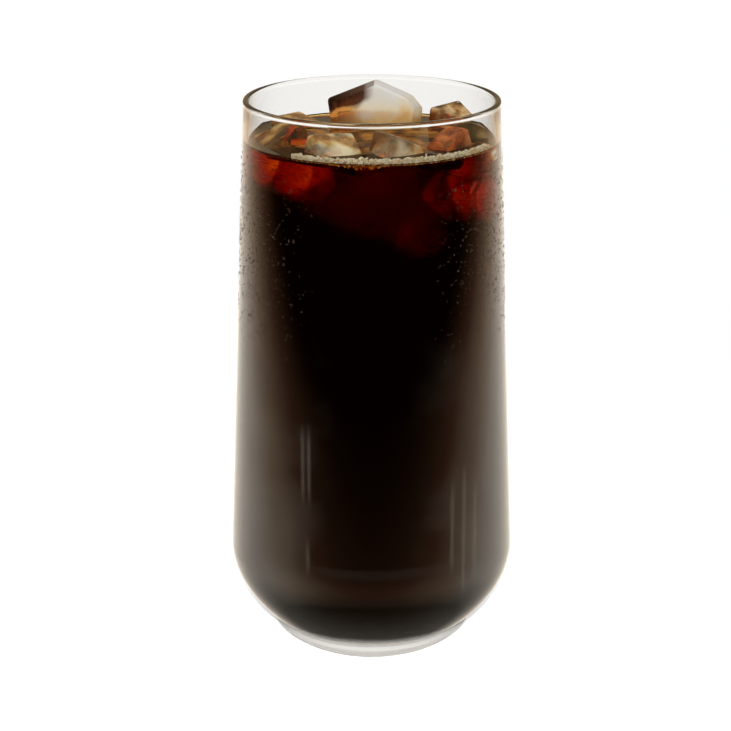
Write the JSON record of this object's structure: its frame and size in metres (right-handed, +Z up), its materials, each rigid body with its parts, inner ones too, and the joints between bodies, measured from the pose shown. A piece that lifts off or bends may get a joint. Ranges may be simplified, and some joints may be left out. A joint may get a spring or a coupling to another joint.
{
  "type": "glass of iced cold brew coffee",
  "caption": "Tall clear tumbler with a thick rounded base, filled with dark cold brew coffee, ice pieces standing out of the drink and a thin band of froth.",
  "frame": {"origin": "centre of the base, on the surface that the glass stands on", "axes": "+Z up along the axis of the glass, the seen front towards -Y, +X to the right"},
  "size_m": [0.0768, 0.0768, 0.1508],
  "materials": {
    "glass": "clear polished soda-lime glass, lightly fogged outside",
    "coffee": "clear, very dark red-brown liquid",
    "froth": "fine cream-coloured bubbles",
    "ice": "clear wet melting ice",
    "water": "small clear drops of condensation"
  },
  "bodies": {
    "root": {"glass": "glass", "coffee": "coffee", "froth": "froth", "ice_1": "ice", "ice_2": "ice", "ice_3": "ice", "ice_4": "ice", "ice_5": "ice", "ice_6": "ice", "ice_7": "ice", "ice_8": "ice"}
  },
  "joints": []
}
